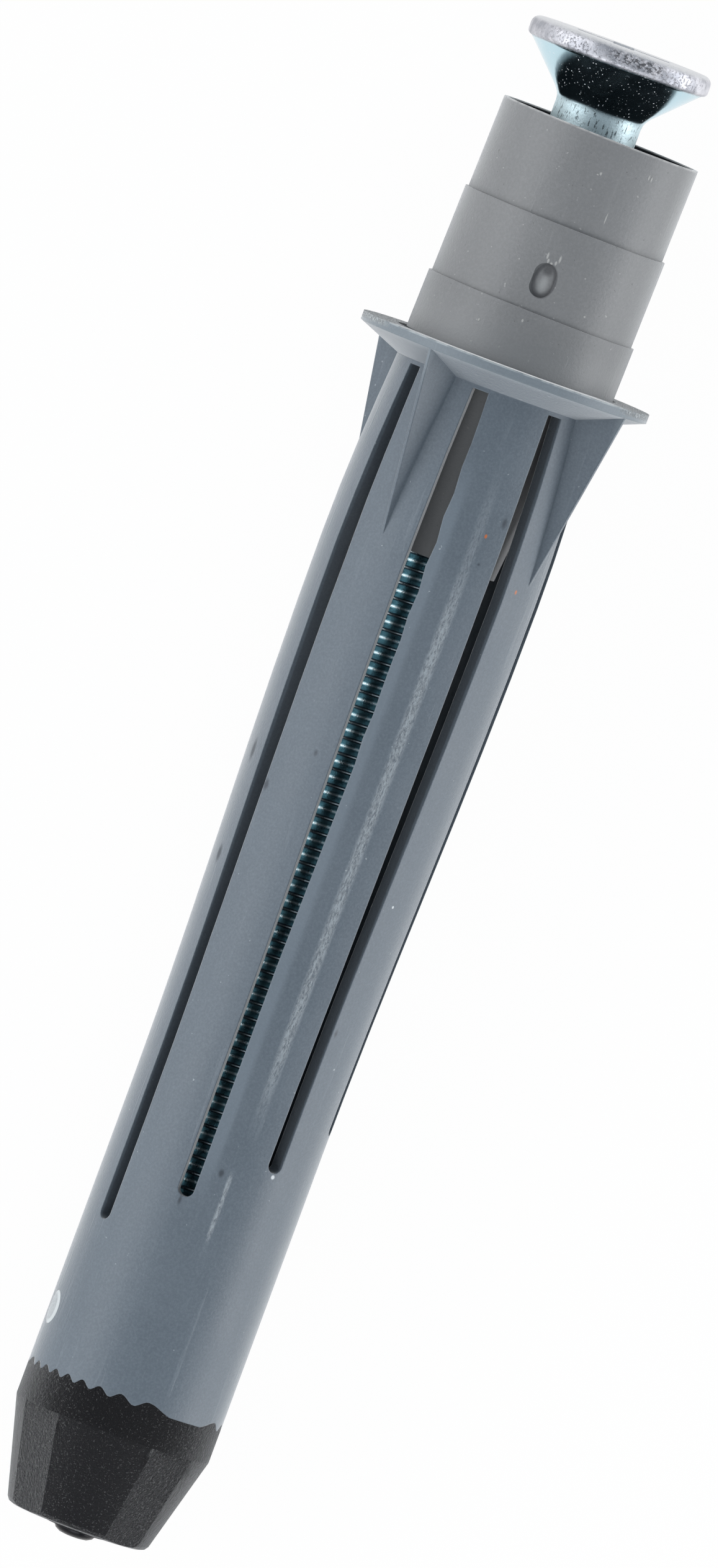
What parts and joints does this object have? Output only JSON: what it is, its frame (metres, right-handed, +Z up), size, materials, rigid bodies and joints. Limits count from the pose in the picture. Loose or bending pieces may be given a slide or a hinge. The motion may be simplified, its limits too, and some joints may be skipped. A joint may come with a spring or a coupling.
{
  "type": "drywall anchor",
  "caption": "Cavity anchor for plasterboard: countersunk screw, stepped spacer, slotted flanged sleeve with fins and a threaded black cone at its far end.",
  "frame": {"origin": "on the surface the anchor lies on, under the middle of its box", "axes": "+X along the anchor towards the screw head, +Z up, +Y across; the anchor's own axis rises 2.5 degrees towards the head"},
  "size_m": [0.0774, 0.0148, 0.0148],
  "materials": {
    "zinc": "bright zinc plate, rolled thread, slightly rough head",
    "spacer_grey": "satin moulded plastic, neutral grey",
    "sleeve_grey": "satin moulded plastic, blue grey, lightly scuffed",
    "tip_black": "granular glass-filled plastic, charcoal",
    "insert_steel": "plain steel, hidden"
  },
  "bodies": {
    "sleeve": {"slotted_sleeve": "sleeve_grey", "cone_tip": "tip_black", "nut_insert": "insert_steel"},
    "spacer": {"spacer_sleeve": "spacer_grey"},
    "screw": {"screw": "zinc"}
  },
  "joints": [
    {"name": "screw_turn", "type": "hinge", "parent": "sleeve", "child": "spacer", "pos_m": [0.02215, 0, 0.00739], "axis": [-0.999, 0, -0.044], "range_deg": [-2701, 1432]},
    {"name": "screw_travel", "type": "slide", "parent": "spacer", "child": "screw", "axis": [-0.999, 0, -0.044], "range_m": [-0.006, 0.00318]}
  ],
  "couplings": [
    {"joint": "screw_turn", "follows": "screw_travel", "rad_per_m": 7854}
  ]
}
